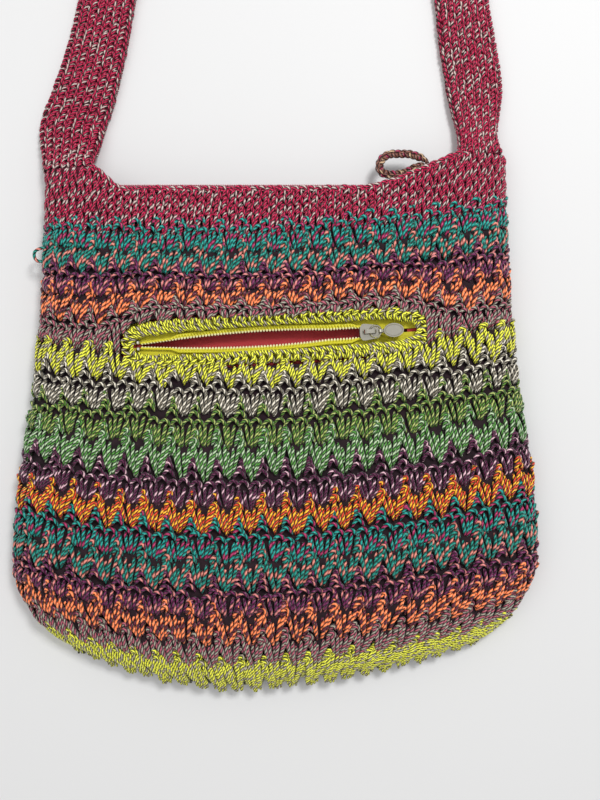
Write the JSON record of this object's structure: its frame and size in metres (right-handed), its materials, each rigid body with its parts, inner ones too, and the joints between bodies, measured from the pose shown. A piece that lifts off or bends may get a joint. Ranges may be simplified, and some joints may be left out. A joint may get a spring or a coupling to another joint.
{
  "type": "crocheted shoulder bag",
  "caption": "Flat crocheted shoulder bag with striped rows of V stitches, a zip along its top, a zip pocket in its front and a crocheted strap.",
  "frame": {"origin": "on the bag's back, under the middle of its shell, where the back rests on what it lies on", "axes": "+X to the right of the front, +Y up the bag towards the strap, +Z out of the front"},
  "size_m": [0.2762, 0.5744, 0.0286],
  "materials": {
    "crochet_stripes": "crocheted cotton yarn in stripes of two-coloured rows",
    "yarn_yellow": "crocheted cotton yarn",
    "yarn_crimson": "crocheted cotton yarn",
    "lining_cloth": "plain woven lining cloth",
    "zip_tape_yellow": "woven zip tape",
    "zip_coil_yellow": "nylon coil",
    "zip_tape_crimson": "woven zip tape",
    "zip_coil_crimson": "nylon coil",
    "antique_nickel": "plated zinc casting, slightly worn",
    "braided_yarn": "braided yarn"
  },
  "bodies": {
    "bag": {"crochet_body": "crochet_stripes", "pocket_edging": "yarn_yellow", "shoulder_strap": "yarn_crimson", "main_lining": "lining_cloth", "pocket_lining": "lining_cloth", "pocket_zip_upper_tape": "zip_tape_yellow", "pocket_zip_lower_tape": "zip_tape_yellow", "pocket_zip_upper_coil": "zip_coil_yellow", "pocket_zip_lower_coil": "zip_coil_yellow", "pocket_zip_upper_stop": "antique_nickel", "pocket_zip_lower_stop": "antique_nickel", "pocket_zip_end_stop": "antique_nickel", "top_zip_front_tape": "zip_tape_crimson", "top_zip_back_tape": "zip_tape_crimson", "top_zip_front_coil": "zip_coil_crimson", "top_zip_back_coil": "zip_coil_crimson", "top_zip_front_stop": "antique_nickel", "top_zip_back_stop": "antique_nickel", "top_zip_end_stop": "antique_nickel"},
    "pocket_slider": {"pocket_zip_slider": "antique_nickel"},
    "pocket_ring": {"pocket_zip_ring": "antique_nickel"},
    "pocket_pull": {"pocket_zip_pull": "antique_nickel"},
    "top_slider": {"top_zip_slider": "antique_nickel"},
    "top_pull": {"top_zip_pull": "antique_nickel", "top_zip_cord_loop": "braided_yarn"}
  },
  "joints": [
    {"name": "pocket_slider_slide", "type": "slide", "parent": "bag", "child": "pocket_slider", "axis": [-0.9982, -0.0593, 0], "range_m": [0, 0.11], "deforming": ["pocket_zip_upper_tape", "pocket_zip_lower_tape", "pocket_zip_upper_coil", "pocket_zip_lower_coil"]},
    {"name": "pocket_ring_swing", "type": "hinge", "parent": "pocket_slider", "child": "pocket_ring", "pos_m": [0.0486, 0.05389, 0.02695], "axis": [-0.0593, 0.9982, 0], "range_deg": [-75, 0]},
    {"name": "pocket_pull_swing", "type": "hinge", "parent": "pocket_ring", "child": "pocket_pull", "pos_m": [0.0544, 0.05423, 0.02695], "axis": [-0.0593, 0.9982, 0], "range_deg": [-60, 0]},
    {"name": "top_slider_slide", "type": "slide", "parent": "bag", "child": "top_slider", "axis": [-1, 0, 0], "range_m": [0, 0.166], "deforming": ["top_zip_front_tape", "top_zip_back_tape", "top_zip_front_coil", "top_zip_back_coil"]},
    {"name": "top_pull_swing", "type": "hinge", "parent": "top_slider", "child": "top_pull", "pos_m": [0.0832, 0.1355, 0.0109], "axis": [0, 0, 1], "range_deg": [-60, 5], "deforming": ["top_zip_cord_loop"]}
  ]
}
